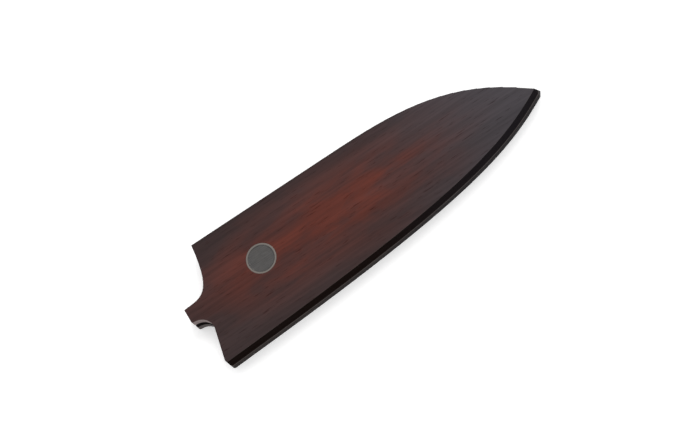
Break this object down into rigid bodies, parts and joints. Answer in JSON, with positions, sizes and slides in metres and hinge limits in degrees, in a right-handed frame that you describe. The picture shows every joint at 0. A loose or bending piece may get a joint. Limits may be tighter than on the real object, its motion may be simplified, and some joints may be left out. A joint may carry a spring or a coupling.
{
  "type": "knife blade guard",
  "caption": "Flat wooden blade guard for a cook's knife: a milled face shell on a back plate, held by magnets, with a thumb notch at the open end.",
  "frame": {"origin": "middle of the footprint, on the resting face of the back plate", "axes": "+X along the guard to the tip, +Y to the spine, +Z out of the face"},
  "size_m": [0.21, 0.064, 0.013],
  "materials": {
    "face_wood": "satin, dark rosewood with shaded edges",
    "back_wood": "satin, charcoal stained",
    "badge_metal": "dark brushed",
    "magnet_nickel": "nickel plated"
  },
  "bodies": {
    "root": {"face_shell": "face_wood", "back_plate": "back_wood", "badge_inlay": "badge_metal", "face_magnet_heel": "magnet_nickel", "face_magnet_middle": "magnet_nickel", "face_magnet_tip": "magnet_nickel", "back_magnet_heel": "magnet_nickel", "back_magnet_middle": "magnet_nickel", "back_magnet_tip": "magnet_nickel"}
  },
  "joints": []
}
